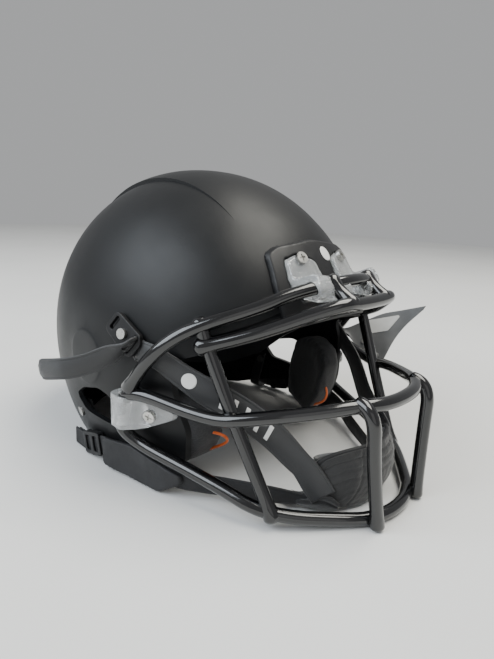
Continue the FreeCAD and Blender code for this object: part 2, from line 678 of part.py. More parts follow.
# ---------------------------------------------------------------- the left strap's wide tab
TAB_EDGES = [
    ((109.9, -38.5, 90), (107.6, -47.5, 81.5)), ((114.8, -43.6, 85), (113.2, -50.3, 80.6)),
    ((122, -52.5, 89.5), (114.6, -62.5, 68.5)), ((129, -61, 95), (115, -80, 56)),
    ((136, -70, 100.8), (120, -86.4, 62)), ((142, -79, 104.5), (128, -88.3, 74.5)),
    ((147, -88.4, 107.6), (139, -91, 88)), ((151, -98, 111), (146, -96.5, 98.6)),
    ((154.5, -106, 114), (153, -104.5, 110))]
tab = sheet_between("tab_sheet", TAB_EDGES, STRAP)
label_skin = sheet_between("tab_label_skin", TAB_EDGES, 0.4, offset=STRAP / 2 + 0.25)
TAB_LABEL = [(-56, 93, 1.5), (-88, 103.5, 1.5), (-82, 88.5, 1.5), (-62, 82, 1.5)]
subpart(common("tab_label", label_skin, prism("tab_label_limit", TAB_LABEL, SIDE_VIEW, FULL_WIDTH)),
        "tab_label")
rivets = []
for i, (first, second, share) in enumerate(((2, 3, 0.55), (2, 3, 0.8), (3, 4, 0.82))):
    a, b = [V(*end) for end in TAB_EDGES[first]]
    c, d = [V(*end) for end in TAB_EDGES[second]]
    middle = (a + (b - a) * share + c + (d - c) * share) * 0.5
    facing = (b - a).cross(c - a).normalize()
    rivets.append(cylinder("tab_rivet_%d" % (i + 1), "0.5 * stud_head_radius", "4.6",
                           middle - facing * 2.3, facing))
rivet_room = fuse("rivet_room", rivets)
subpart(cut("upper_strap_tab_left", tab, rivet_room), "upper_strap_tab_left")
gathered("tab_rivets", rivets)

# ---------------------------------------------------------------- lower straps, guards and sliders
SLIDER_MIDDLE = (111.5, 29, 12)
SLIDER_ALONG = V(0, 0.970, -0.243).normalize()
SLIDER_UP = SLIDER_ALONG.cross(X_AXIS) * -1
LOWER_STRAP = [
    ((111.5, 57, 8.6), (1, 0, 0), 14), ((111.5, 50, 8.5), (1, 0, 0), 14),
    ((111.5, 43, 8.5), (1, 0, 0), 14), ((111.5, 29, 12), (1, 0, 0), 14),
    ((111.5, 20, 14.25), (1, 0, 0), 14), ((111.5, 11, 16.2), (1, 0, 0), 14),
    ((109.3, -2, 16.3), (0.99, -0.13, 0), 14), ((105.8, -20, 15.3), (0.98, -0.19, 0), 14),
    ((101.3, -46, 14.3), (0.96, -0.28, 0), 14), ((95.7, -61, 13.2), (0.88, -0.47, 0), 14),
    ((78, -84, 11.4), (0.80, -0.60, 0), 14), ((58, -111.6, 9.8), (0.79, -0.61, 0), 12),
    ((47.8, -125, 8.8), (0.80, -0.60, -0.1), 9), ((43.2, -134.5, 8.2), (0.76, -0.55, -0.30), 8.5),
    ((39.0, -139.5, 8.3), (0.70, -0.62, -0.30), 8.5)]
GUARD_PATH = [
    ((114.4, 13.5, 14), (1, 0, 0), 34), ((112.5, -2, 14), (0.99, -0.13, 0), 34),
    ((109.0, -20, 14), (0.98, -0.19, 0), 34), ((104.6, -46, 14), (0.96, -0.28, 0), 34),
    ((98.7, -62.3, 14), (0.88, -0.47, 0), 34), ((96.5, -66, 14), (0.88, -0.47, 0), 34)]
GUARD = [(10.2, 3, 4), (10.2, 25, 4), (-18, 27.3, 12), (-46, 22.3, 10), (-62.5, 17.8, 3),
         (-62.5, 11.5, 4), (-46, 1.2, 10)]
SLIDER = [(-12, -9, 2.5), (12, -9, 2.5), (12, 9, 2.5), (-12, 9, 2.5)]
SLIDER_WINDOWS = [[(-8.6, -6, 1), (-2, -6, 1), (-2, 6, 1), (-8.6, 6, 1)],
                  [(2, -6, 1), (8.6, -6, 1), (8.6, 6, 1), (2, 6, 1)]]
ANCHOR = [
    (107.9, 14.5, 0.6), (109.7, 14.5, 0.6), (109.7, 5.0, 4), (106.5, 3.0, 4), (97.5, 3.0, 3),
    (94.5, 6.5, 3), (94.8, 13, 10), (99.9, 26, 10), (103.4, 40.5, 0.6), (105.2, 40, 0.6),
    (101.7, 26, 10), (96.6, 13, 10), (96.4, 7, 2.5), (98.2, 4.8, 2), (105.8, 4.8, 3), (107.9, 7, 3)]


def sided(stations, sign):
    return [((sign * x, y, z), (sign * u, v, w), width) for (x, y, z), (u, v, w), width in stations]


anchor_rivets = []
for side, sign in SIDES.items():
    whole = webbing("lower_webbing_" + side, sided(LOWER_STRAP, sign), STRAP)
    subpart(cut("lower_strap_" + side, whole, cup_sweep_room), "lower_strap_" + side)
    lower_ends.append(cut("cup_lower_end_" + side,
                          common("cup_lower_end_blank_" + side, whole, cup_sweep), cup_outside))

    sheet_body = webbing("guard_sheet_" + side, sided(GUARD_PATH, sign), dim("guard_thickness"))
    subpart(common("lower_strap_guard_" + side, sheet_body,
                   prism("guard_limit_" + side, GUARD, SIDE_VIEW, FULL_WIDTH)),
            "lower_strap_guard_" + side)

    middle = V(sign * SLIDER_MIDDLE[0], *SLIDER_MIDDLE[1:])
    frame = looking(SLIDER_ALONG, SLIDER_UP, middle)
    block = prism("slider_block_" + side, SLIDER, frame, "slider_thickness")
    tunnel = [(-14, -7.5, 0), (14, -7.5, 0), (14, 7.5, 0), (-14, 7.5, 0)]
    room = [prism("slider_tunnel_" + side, tunnel, frame, "strap_thickness + 1.0")]
    for i, window in enumerate(SLIDER_WINDOWS):
        room.append(prism("slider_window_%d_%s" % (i + 1, side), window, frame,
                          "2 * slider_thickness"))
    subpart(cut("lower_slider_" + side, block, fuse("slider_room_" + side, room)),
            "lower_slider_" + side)

    tape = prism("anchor_tape_" + side, [(sign * x, z, r) for x, z, r in ANCHOR],
                 looking(X_AXIS, Z_AXIS, V(0, 50.5, 0)), "12")
    place = ANCHOR_PLACES[side]
    rivet = pin_at("anchor_rivet_" + side, place, ANCHOR_RIVET, 9.2, 1.0)
    head = pin_at("anchor_rivet_head_" + side, place, "0.9 * snap_radius", -0.1, 1.3)
    back = pin_at("anchor_rivet_back_" + side, place, "0.9 * snap_radius", 9.2, -8.1)
    rivet_body = fuse("anchor_rivet_body_" + side, [rivet, head, back])
    anchor_rivets.append(rivet_body)
    subpart(cut("lower_strap_anchor_" + side, tape, rivet_body), "lower_strap_anchor_" + side)
gathered("cup_strap_ends_lower", lower_ends)
gathered("anchor_rivets", anchor_rivets)

# ---------------------------------------------------------------- chin cup
CUP = [(-46, 4, 5), (-20, 3.2, 30), (20, 3.2, 30), (46, 4, 5), (46, 28, 8), (31, 43, 14),
       (12, 45, 30), (-12, 45, 30), (-31, 43, 14), (-46, 28, 8)]
CUP_LINING = [(-42, 6, 4), (42, 6, 4), (42, 27, 8), (29, 41, 13), (-29, 41, 13), (-42, 27, 8)]
CUP_FRONT = looking(X_AXIS, Z_AXIS, V(0, -168, 0))
CUP_VENTS = [(-4, 20), (-4, 28), (4, 20), (4, 28)]

cup_skin = cut("cup_skin", ellipsoid("cup_surface", 0), ellipsoid("cup_hollow", "- cup_wall"))
cup_plate = common("cup_plate", cup_skin, prism("cup_limit", CUP, CUP_FRONT, "80"))
cup_holes = [cylinder("cup_hole_%d" % (i + 1), "1.8", "40", V(x, -170, z), Y_AXIS)
             for i, (x, z) in enumerate(CUP_VENTS)]
subpart(cut("chin_cup_shell", cup_plate, fuse("cup_holes", cup_holes)), "chin_cup_shell")
cup_lining = cut("cup_lining", ellipsoid("lining_outside", "- cup_wall - 0.1"),
                 ellipsoid("lining_inside", "- cup_wall - cup_pad_thickness"))
subpart(common("chin_cup_pad", cup_lining, prism("lining_limit", CUP_LINING, CUP_FRONT, "80")),
        "chin_cup_pad")

# ---------------------------------------------------------------- liner
BONNET = [(-150, 128, 0), (-110, 128, 10), (-60, 106, 30), (-20, 88, 30), (10, 70, 30),
          (40, 45, 30), (80, 25, 30), (150, 22, 0), (240, 22, 0), (240, 260, 0), (-150, 260, 0)]
subpart(common("bonnet", layer("bonnet_skin", BONNET_IN, BONNET_OUT),
               prism("bonnet_limit", BONNET, SIDE_VIEW, FULL_WIDTH)), "bonnet")

ABSORBER_DIRECTIONS = [
    (0, -0.42, 1), (0, 0.12, 1), (0, 0.7, 1), (0.52, -0.25, 1), (0.55, 0.35, 1), (0.8, -0.62, 0.72),
    (1, 0.05, 0.45), (1, 0.62, 0.5), (0.45, 1, 0.52), (0.38, 1, 0.02), (1, 0.62, -0.02)]
cores = []
for i, (x, y, z) in enumerate(ABSORBER_DIRECTIONS):
    for sign in ((1,) if x == 0 else (-1, 1)):
        direction = V(sign * x, y, z).normalize()
        cores.append(pin_at("absorber_core_%d" % (len(cores) + 1), surface_point(direction),
                            "absorber_radius", 40, 10))
absorber_zone = layer("absorber_zone", ABSORBERS_IN, -(THICKNESS + GAP))
subpart(common("shock_absorbers", absorber_zone, fuse("absorber_cores", cores)), "shock_absorbers")

TOP_VIEW = looking(X_AXIS, Y_AXIS, V(0, 0, 190))


def oblong(u_range, v_range, radius):
    """A rounded rectangle as a prism's outline."""
    (u1, u2), (v1, v2) = u_range, v_range
    return [(u1, v1, radius), (u2, v1, radius), (u2, v2, radius), (u1, v2, radius)]


PADS = {
    "crown_pad": (TOP_VIEW, "100", [
        oblong((-17, 17), (18, 50), 10), oblong((-17, 17), (-20, 14), 10),
        oblong((-17, 17), (54, 88), 10), oblong((-50, -21), (8, 60), 10),
        oblong((21, 50), (8, 60), 10)]),
    "front_pad": (looking(X_AXIS, Z_AXIS, V(0, -78, 0)), "100", [
        oblong((-16, 16), (130, 164), 10), oblong((-54, -20), (130, 160), 10),
        oblong((20, 54), (130, 160), 10)]),
    "rear_pad": (BACK_HALF, "240", [
        oblong((-16, 16), (40, 92), 10), oblong((-54, -20), (40, 92), 10),
        oblong((20, 54), (40, 92), 10)])}
for name, (frame, depth, outlines) in PADS.items():
    lobes = [prism("%s_lobe_%d" % (name, i + 1), outline, frame, depth)
             for i, outline in enumerate(outlines)]
    subpart(common(name, layer(name + "_layer", PADS_IN, PADS_OUT), fuse(name + "_lobes", lobes)),
            name)

SIDE_LOBES = [oblong((-32, 4), (92, 128), 10), oblong((8, 44), (72, 124), 10),
              oblong((48, 84), (62, 116), 10)]
JAW_PAD = [(-60.5, 60, 6), (-60.5, 36, 14), (-51, 19, 9), (-40, 13, 8), (-8, 17, 10), (0, 40, 20),
           (-4, 70, 10), (-30, 78, 14), (-52, 72, 8)]
FIT_CORD = [(80, -42, 38.5), (71.5, -58, 41.5), (61.5, -68, 37.5), (59, -65, 29), (66, -46, 19)]
for side, sign in SIDES.items():
    half = looking(Y_AXIS, Z_AXIS, V(sign * 60, 0, 0))
    lobes = [prism("side_lobe_%d_%s" % (i + 1, side), outline, half, "110")
             for i, outline in enumerate(SIDE_LOBES)]
    subpart(common("side_pad_" + side, layer("side_pad_layer_" + side, PADS_IN, PADS_OUT),
                   fuse("side_lobes_" + side, lobes)), "side_pad_" + side)

    cord = mirrored(FIT_CORD, -sign)
    block = common("jaw_pad_blank_" + side,
                   layer("jaw_pad_layer_" + side, JAW_PADS_IN, -(THICKNESS + GAP)),
                   prism("jaw_pad_limit_" + side, JAW_PAD, looking(Y_AXIS, Z_AXIS, V(sign * 80, 0, 0)),
                         "120"))
    nut_room = pin_at("jaw_nut_room_" + side, SCREW_PLACES["side_" + side],
                      "t_nut_radius + 1", 11.6, 5)
    cord_room = swept_rod("cord_room_" + side, cord, "fit_cord_radius + 0.1")
    subpart(cut("jaw_pad_" + side, block, fuse("jaw_pad_room_" + side, [nut_room, cord_room])),
            "jaw_pad_" + side)
    subpart(swept_rod("fit_cord_" + side, cord, "fit_cord_radius"), "fit_cord_" + side)

# ---------------------------------------------------------------- check and export
doc.recompute()
for obj in doc.Objects:
    if "Invalid" in obj.State or "Error" in obj.State:
        raise RuntimeError("%s did not recompute" % obj.Name)
os.makedirs("parts", exist_ok=True)
for obj in subparts:
    if obj.Shape.isNull() or not obj.Shape.isValid():
        raise RuntimeError("%s has no valid shape" % obj.Label)
    obj.Shape.exportStep("parts/%s.step" % obj.Label)
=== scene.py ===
"""American football helmet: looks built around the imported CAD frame.

Positions below are in millimetres in the part's frame (+Z up, the wearer faces -Y and has
their right at -X) and are turned into metres by mm().
"""
import json
import math

import bpy
from mathutils import Matrix, Vector, noise


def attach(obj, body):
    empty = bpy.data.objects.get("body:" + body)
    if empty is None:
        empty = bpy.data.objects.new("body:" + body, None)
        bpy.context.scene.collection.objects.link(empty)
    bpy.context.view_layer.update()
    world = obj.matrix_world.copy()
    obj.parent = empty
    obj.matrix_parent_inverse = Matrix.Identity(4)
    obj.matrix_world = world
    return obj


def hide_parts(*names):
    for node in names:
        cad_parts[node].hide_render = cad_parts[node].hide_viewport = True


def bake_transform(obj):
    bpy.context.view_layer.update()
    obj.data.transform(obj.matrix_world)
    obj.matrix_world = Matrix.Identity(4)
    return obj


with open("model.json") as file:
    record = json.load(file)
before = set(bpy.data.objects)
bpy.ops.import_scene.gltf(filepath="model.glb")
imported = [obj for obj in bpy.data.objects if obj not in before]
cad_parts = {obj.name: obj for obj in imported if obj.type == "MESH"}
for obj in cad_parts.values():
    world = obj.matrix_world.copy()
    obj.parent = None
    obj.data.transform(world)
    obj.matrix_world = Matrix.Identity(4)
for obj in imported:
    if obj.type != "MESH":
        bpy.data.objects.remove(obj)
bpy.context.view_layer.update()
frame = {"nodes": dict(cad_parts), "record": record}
ROOT = "helmet_root"
CUP = "chin_cup_body"
BUCKLE = {"right": "upper_buckle_right_body", "left": "upper_buckle_left_body"}
SLIDER = {"right": "lower_slider_right_body", "left": "lower_slider_left_body"}
SIDES = {"right": -1, "left": 1}
CAMERA_PLACE = (-289.6, -296.2, 199.0)
CAMERA_ANGLES = (-46.775, 14.339, 2.736)
CAMERA_LENS, SENSOR_WIDTH = 27.05, 36


def mm(*values):
    return Vector(values) / 1000


# ------------------------------------------------------------------ shell surface
HALF_WIDTH, HALF_LENGTH, RISE, DROP, EXPONENT = 117.0, 143.0, 137.0, 150.0, 2.15
CENTRE = Vector((0, 29.0, 84.4))


def front_point(x, z, lift=0.0):
    """The shell's surface seen from the front at x and z, in mm."""
    width, length = HALF_WIDTH + lift, HALF_LENGTH + lift
    height = (RISE if z > CENTRE.z else DROP) + lift
    ring = (1 - abs(x / width) ** EXPONENT) ** (1 / EXPONENT)
    reach = length * math.sqrt(max(0.0, ring ** 2 - ((z - CENTRE.z) / height) ** 2))
    return Vector((x, CENTRE.y - reach, z))


def side_point(side, y, z, lift=0.0):
    """The shell's surface seen from the side at y and z, in mm."""
    height = (RISE if z > CENTRE.z else DROP) + lift
    ring = math.hypot((y - CENTRE.y) / (HALF_LENGTH + lift), (z - CENTRE.z) / height)
    reach = max(0.0, 1 - ring ** EXPONENT) ** (1 / EXPONENT)
    return Vector((side * (HALF_WIDTH + lift) * reach, y, z))


def outward(point):
    """The shell's outward direction at a point of its surface given in mm."""
    height = RISE if point.z > CENTRE.z else DROP
    ring = math.hypot((point.y - CENTRE.y) / HALF_LENGTH, (point.z - CENTRE.z) / height)
    pull = ring ** (EXPONENT - 2)
    return Vector((
        math.copysign(abs(point.x / HALF_WIDTH) ** (EXPONENT - 1) / HALF_WIDTH, point.x),
        pull * (point.y - CENTRE.y) / HALF_LENGTH ** 2,
        pull * (point.z - CENTRE.z) / height ** 2)).normalized()


# ------------------------------------------------------------------ materials
class Nodes:
    """A material's node tree, with the few helpers that the recipes below use."""

    def __init__(self, name):
        self.material = bpy.data.materials.new(name)
        self.material.use_nodes = True
        self.tree = self.material.node_tree
        self.shader = self.tree.nodes["Principled BSDF"]

    def add(self, kind, **settings):
        node = self.tree.nodes.new(kind)
        for key, value in settings.items():
            setattr(node, key, value)
        return node

    def link(self, source, target):
        self.tree.links.new(source, target)

    def position(self, scale=(1, 1, 1), turn=(0, 0, 0)):
        """Object coordinates, stretched and turned."""
        place = self.add("ShaderNodeTexCoord")
        mapping = self.add("ShaderNodeMapping")
        mapping.inputs["Scale"].default_value = scale
        mapping.inputs["Rotation"].default_value = turn
        self.link(place.outputs["Object"], mapping.inputs["Vector"])
        return mapping.outputs["Vector"]

    def noise(self, scale, detail=4.0, rough=0.55, stretch=(1, 1, 1), distortion=0.0):
        node = self.add("ShaderNodeTexNoise")
        node.inputs["Scale"].default_value = scale
        node.inputs["Detail"].default_value = detail
        node.inputs["Roughness"].default_value = rough
        node.inputs["Distortion"].default_value = distortion
        self.link(self.position(stretch), node.inputs["Vector"])
        return node.outputs["Fac"]

    def cells(self, scale, stretch=(1, 1, 1)):
        node = self.add("ShaderNodeTexVoronoi")
        node.inputs["Scale"].default_value = scale
        self.link(self.position(stretch), node.inputs["Vector"])
        return node.outputs["Distance"]

    def bands(self, scale, axis, turn=(0, 0, 0), distortion=0.0):
        node = self.add("ShaderNodeTexWave", wave_type="BANDS", bands_direction=axis)
        node.inputs["Scale"].default_value = scale
        node.inputs["Distortion"].default_value = distortion
        self.link(self.position(turn=turn), node.inputs["Vector"])
        return node.outputs["Fac"]

    def ramp(self, source, stops):
        """stops are (place, colour or grey value)."""
        node = self.add("ShaderNodeValToRGB")
        while len(node.color_ramp.elements) < len(stops):
            node.color_ramp.elements.new(0.5)
        for element, (place, value) in zip(node.color_ramp.elements, stops):
            element.position = place
            element.color = (*value, 1) if isinstance(value, tuple) else (value, value, value, 1)
        self.link(source, node.inputs["Fac"])
        return node.outputs["Color"]

    def math(self, operation, a, b):
        node = self.add("ShaderNodeMath", operation=operation)
        for socket, value in zip(node.inputs, (a, b)):
            if isinstance(value, (int, float)):
                socket.default_value = value
            else:
                self.link(value, socket)
        return node.outputs["Value"]

    def bump(self, height, distance, strength=1.0):
        node = self.add("ShaderNodeBump")
        node.inputs["Strength"].default_value = strength
        node.inputs["Distance"].default_value = distance
        self.link(height, node.inputs["Height"])
        previous = self.shader.inputs["Normal"].links
        if previous:
            self.link(previous[0].from_socket, node.inputs["Normal"])
        self.link(node.outputs["Normal"], self.shader.inputs["Normal"])



def shader(name, metallic=0.0, **sockets):
    nodes = Nodes(name)
    nodes.shader.inputs["Metallic"].default_value = metallic
    for key, value in sockets.items():
        nodes.shader.inputs[key.replace("_", " ")].default_value = value
    return nodes


def matte_shell(name, dark, light, rough_low=0.44, rough_high=0.56):
    """Satin paint: a faint mottle in colour and gloss, and a very fine orange-peel surface."""
    nodes = shader(name, Specular_IOR_Level=0.24)
    patches = nodes.noise(9, 5)
    nodes.link(nodes.ramp(patches, [(0.3, dark), (0.7, light)]), nodes.shader.inputs["Base Color"])
    smears = nodes.noise(28, 3, distortion=0.4)
    nodes.link(nodes.ramp(smears, [(0.3, rough_low), (0.75, rough_high)]),
               nodes.shader.inputs["Roughness"])
    nodes.bump(nodes.noise(1500, 2), 0.00004)
    nodes.bump(nodes.noise(260, 2), 0.00003)
    return nodes.material


def moulded(name, dark, light, rough=0.5, grain=0.00008):
    """Moulded plastic with a fine grain and a faint mottle in colour and gloss."""
    nodes = shader(name, Specular_IOR_Level=0.34)
    nodes.link(nodes.ramp(nodes.noise(60, 4), [(0.3, dark), (0.7, light)]),
               nodes.shader.inputs["Base Color"])
    nodes.link(nodes.ramp(nodes.noise(180, 3), [(0.3, rough - 0.07), (0.7, rough + 0.07)]),
               nodes.shader.inputs["Roughness"])
    nodes.bump(nodes.noise(1400, 3), grain)
    return nodes.material


def coated_wire():
    """Thick glossy plastic coating on wire, with slight sags that bend its highlights."""
    nodes = shader("wire_coating", Coat_Weight=0.6, Coat_Roughness=0.05, IOR=1.5)
    nodes.link(nodes.ramp(nodes.noise(40, 3), [(0.3, (0.002, 0.002, 0.0025)),
                                               (0.7, (0.005, 0.005, 0.0055))]),
               nodes.shader.inputs["Base Color"])
    nodes.link(nodes.ramp(nodes.noise(90, 3), [(0.3, 0.10), (0.75, 0.20)]),
               nodes.shader.inputs["Roughness"])
    nodes.bump(nodes.noise(110, 2), 0.00012)
    return nodes.material


def webbing_material(name, dark, light, turn=(0, 0, 0)):
    """Closely woven strap: two crossed sets of fine threads."""
    nodes = shader(name, Sheen_Weight=0.25, Sheen_Roughness=0.4)
    warp = nodes.bands(1200, "X", turn)
    weft = nodes.bands(1200, "Z", turn)
    weave = nodes.math("MULTIPLY", warp, weft)
    nodes.link(nodes.ramp(weave, [(0.2, dark), (0.8, light)]), nodes.shader.inputs["Base Color"])
    nodes.link(nodes.ramp(nodes.noise(70, 4), [(0.3, 0.33), (0.7, 0.45)]),
               nodes.shader.inputs["Roughness"])
    nodes.bump(weave, 0.00005)
    nodes.bump(nodes.noise(45, 3), 0.0003)
    return nodes.material


def fabric(name, dark, light, scale=900, rough=0.8):
    """Knitted cover over foam."""
    nodes = shader(name, Sheen_Weight=0.3, Sheen_Roughness=0.5)
    loops = nodes.cells(scale)
    nodes.link(nodes.ramp(loops, [(0.1, dark), (0.7, light)]), nodes.shader.inputs["Base Color"])
    nodes.shader.inputs["Roughness"].default_value = rough
    nodes.bump(loops, 0.00015)
    nodes.bump(nodes.noise(30, 4), 0.0009)
    return nodes.material


def metal(name, colour, rough):
    nodes = shader(name, metallic=1.0)
    nodes.link(nodes.ramp(nodes.noise(120, 4), [(0.3, tuple(c * 0.75 for c in colour)),
                                                (0.7, colour)]),
               nodes.shader.inputs["Base Color"])
    nodes.link(nodes.ramp(nodes.noise(300, 3), [(0.3, rough), (0.7, rough + 0.2)]),
               nodes.shader.inputs["Roughness"])
    nodes.bump(nodes.noise(700, 3), 0.00004)
    return nodes.material


def clear_plastic():
    """Clear moulded plastic with flow marks inside, which break up what is seen through it."""
    nodes = shader("clear_plastic", Transmission_Weight=0.74, IOR=1.52)
    nodes.link(nodes.ramp(nodes.noise(120, 3), [(0.3, (0.78, 0.80, 0.81)),
                                                (0.7, (0.93, 0.94, 0.94))]),
               nodes.shader.inputs["Base Color"])
    nodes.link(nodes.ramp(nodes.noise(160, 4), [(0.3, 0.03), (0.75, 0.13)]),
               nodes.shader.inputs["Roughness"])
    nodes.bump(nodes.noise(130, 4, distortion=1.0), 0.0008, 0.7)
    nodes.bump(nodes.cells(150), 0.0006, 0.5)
    return nodes.material


MATERIALS = {
    "shell": matte_shell("shell_paint", (0.008, 0.0084, 0.0092), (0.012, 0.0124, 0.0132),
                         0.38, 0.48),
    "bumper": moulded("bumper_plastic", (0.008, 0.008, 0.009), (0.013, 0.013, 0.014), 0.42),
    "wire": coated_wire(),
    "clear": clear_plastic(),
    "steel": metal("plated_steel", (0.66, 0.65, 0.62), 0.22),
    "plastic": moulded("black_plastic", (0.007, 0.007, 0.008), (0.012, 0.012, 0.013), 0.40),
    "strap": webbing_material("strap_weave", (0.018, 0.0185, 0.020), (0.042, 0.043, 0.046)),
    "lower_strap": moulded("lower_strap_rubber", (0.016, 0.016, 0.017), (0.028, 0.028, 0.03), 0.6),
    "tab": moulded("grey_tab", (0.095, 0.098, 0.102), (0.13, 0.133, 0.137), 0.45),
    "label": moulded("blank_label", (0.50, 0.50, 0.49), (0.58, 0.58, 0.57), 0.5),
    "cup": fabric("cup_cover", (0.005, 0.005, 0.006), (0.012, 0.012, 0.013), 1300, 0.62),
    "foam": fabric("pad_cover", (0.012, 0.012, 0.014), (0.03, 0.031, 0.034)),
    "bonnet": moulded("bonnet_plastic", (0.03, 0.032, 0.035), (0.045, 0.047, 0.05), 0.5),
    "absorber": moulded("absorber_plastic", (0.05, 0.05, 0.052), (0.07, 0.07, 0.072), 0.55),
    "orange": webbing_material("orange_cord", (0.75, 0.12, 0.02), (0.9, 0.22, 0.04)),
    "white": moulded("white_print", (0.74, 0.74, 0.72), (0.82, 0.82, 0.80), 0.5, 0.00003),
}
CAD_MATERIALS = {
    "shell_black": "shell", "bumper_black": "bumper", "mask_black": "wire", "clip_clear": "clear",
    "steel": "steel", "buckle_black": "plastic", "webbing_black": "strap", "tab_grey": "tab",
    "label_white": "label", "cup_black": "cup", "foam_black": "foam", "bonnet_grey": "bonnet",
    "absorber_grey": "absorber", "cord_orange": "orange"}


def paint(piece, material):
    piece.data.materials.clear()
    piece.data.materials.append(MATERIALS[material])


for entry in frame["record"]["subparts"]:
    paint(frame["nodes"][entry["node"]], CAD_MATERIALS[entry["material_slot"]])


# ------------------------------------------------------------------ mesh makers
def new_piece(name, verts, faces, material, body=None, slot=None, replaces=(), smooth=True):
    """A mesh piece from vertices in metres, riding on a body."""
    mesh = bpy.data.meshes.new(name)
    mesh.from_pydata([tuple(v) for v in verts], [], faces)
    mesh.validate()
    for polygon in mesh.polygons:
        polygon.use_smooth = smooth
    piece = bpy.data.objects.new(name, mesh)
    bpy.context.scene.collection.objects.link(piece)
    paint(piece, material)
    if body:
        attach(piece, body)
    if replaces:
        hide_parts(*replaces)
    return piece


def smooth_line(points, closed=False, steps=10):
    """Points of a smooth NURBS spline that has the given points, in mm, as its control points."""
    curve = bpy.data.curves.new("line", "CURVE")
    curve.dimensions = "3D"
    spline = curve.splines.new("NURBS")
    spline.points.add(len(points) - 1)
    for control, point in zip(spline.points, points):
        control.co = (*point, 1)
    spline.use_cyclic_u = closed
    spline.use_endpoint_u = not closed
    spline.order_u = 3
    spline.resolution_u = steps
    holder = bpy.data.objects.new("line", curve)
    line = bpy.data.meshes.new_from_object(holder)
    found = [v.co.copy() for v in line.vertices]
    bpy.data.objects.remove(holder)
    bpy.data.curves.remove(curve)
    bpy.data.meshes.remove(line)
    return found


def frames_along(line, closed, first_side):
    """A side direction for each point of a line, carried along it without twisting."""
    count = len(line)
    sides = []
    side = Vector(first_side)
    for i, point in enumerate(line):
        before = line[i - 1] if closed or i else point
        after = line[(i + 1) % count] if closed or i + 1 < count else point
        along = (after - before).normalized()
        side = (side - along * side.dot(along)).normalized()
        sides.append((along, side.copy()))
    return sides


def tube(name, line, radius, material, closed=False, segments=20, flare=(0, 0), **ride):
    """A round rod along a line in mm, with domed ends and optional weld flares at them."""
    count = len(line)
    lengths = [0.0]
    for a, b in zip(line, line[1:]):
        lengths.append(lengths[-1] + (b - a).length)
    total = lengths[-1]
    rings = []
    for i, (along, side) in enumerate(frames_along(line, closed, (0.3, 0.2, 1))):
        near = (lengths[i], total - lengths[i])
        extra = sum(1.5 * share * math.exp(-(gap / 5.5) ** 2) for share, gap in zip(flare, near))
        rings.append((line[i], along, side, radius + extra))
    if not closed:
        for end, sign in ((0, -1), (-1, 1)):
            centre, along, side, size = rings[end]
            domes = [(centre + along * sign * size * 0.75 * math.sin(t), along, side,
                      max(size * math.cos(t), 0.02)) for t in (0.35, 0.7, 1.05, 1.35, 1.55)]
            rings = domes[::-1] + rings if end == 0 else rings + domes
    verts, faces = [], []
    for centre, along, side, size in rings:
        up = along.cross(side)
        for k in range(segments):
            turn = 2 * math.pi * k / segments
            verts.append((centre + (side * math.cos(turn) + up * math.sin(turn)) * size) / 1000)
    rows = len(rings)
    for i in range(rows if closed else rows - 1):
        a, b = i * segments, ((i + 1) % rows) * segments
        for k in range(segments):
            m = (k + 1) % segments
            faces.append((a + k, a + m, b + m, b + k))
    if not closed:
        faces.append(tuple(range(segments))[::-1])
        faces.append(tuple(range((rows - 1) * segments, rows * segments)))
    return new_piece(name, verts, faces, material, **ride)


# ------------------------------------------------------------------ facemask wires
WIRE = 4.5
POST_MIDDLE = (-117.3, -22.0, 57.0)
MAIN_BAR = [
    (-119.5, -29.5, 77.5), (-97, -86, 66.5), (-86, -108.5, 71.5), (-57.5, -138.5, 78),
    (-36.5, -156, 82.5), (-16.5, -165.5, 82)]
CHIN_BAR = [
    (-115.3, -14.6, 36.5), (-91, -86, 20.5), (-80.5, -124, 10), (-34.5, -161, 5),
    (-22, -166.5, 4.5), (-9, -170.5, 4.5)]
UPPER_BROW_BAR = [
    (-118, -31.5, 78), (-117.5, -47, 99.5), (-102, -65.5, 121), (-65, -96, 136.5),
    (-48.5, -104.5, 144.5), (-17.5, -120.5, 152)]
LOWER_BROW_BAR = [(-94, -73.5, 111), (-79, -93.5, 117.5), (-31, -133, 141), (-16.5, -134.5, 139.5)]
SIDE_VERTICAL = [(-92, -70, 125), (-89, -84.5, 93.5), (-82.5, -104.5, 49.5), (-76.5, -125, 9)]
FRONT_VERTICAL = [(-36, -155, 84), (-37.5, -166.5, 82.5), (-34.5, -167.5, 50), (-27, -171.5, 3.5)]
BROW_TIE = [(-21, -116.5, 152), (-20, -133, 139.5)]


def sided(points, sign):
    """Points given for the right-hand side (-X), for either side."""
    return [(-sign * x, y, z) for x, y, z in points]


def both_halves(points):
    return points + sided(points, 1)[::-1]


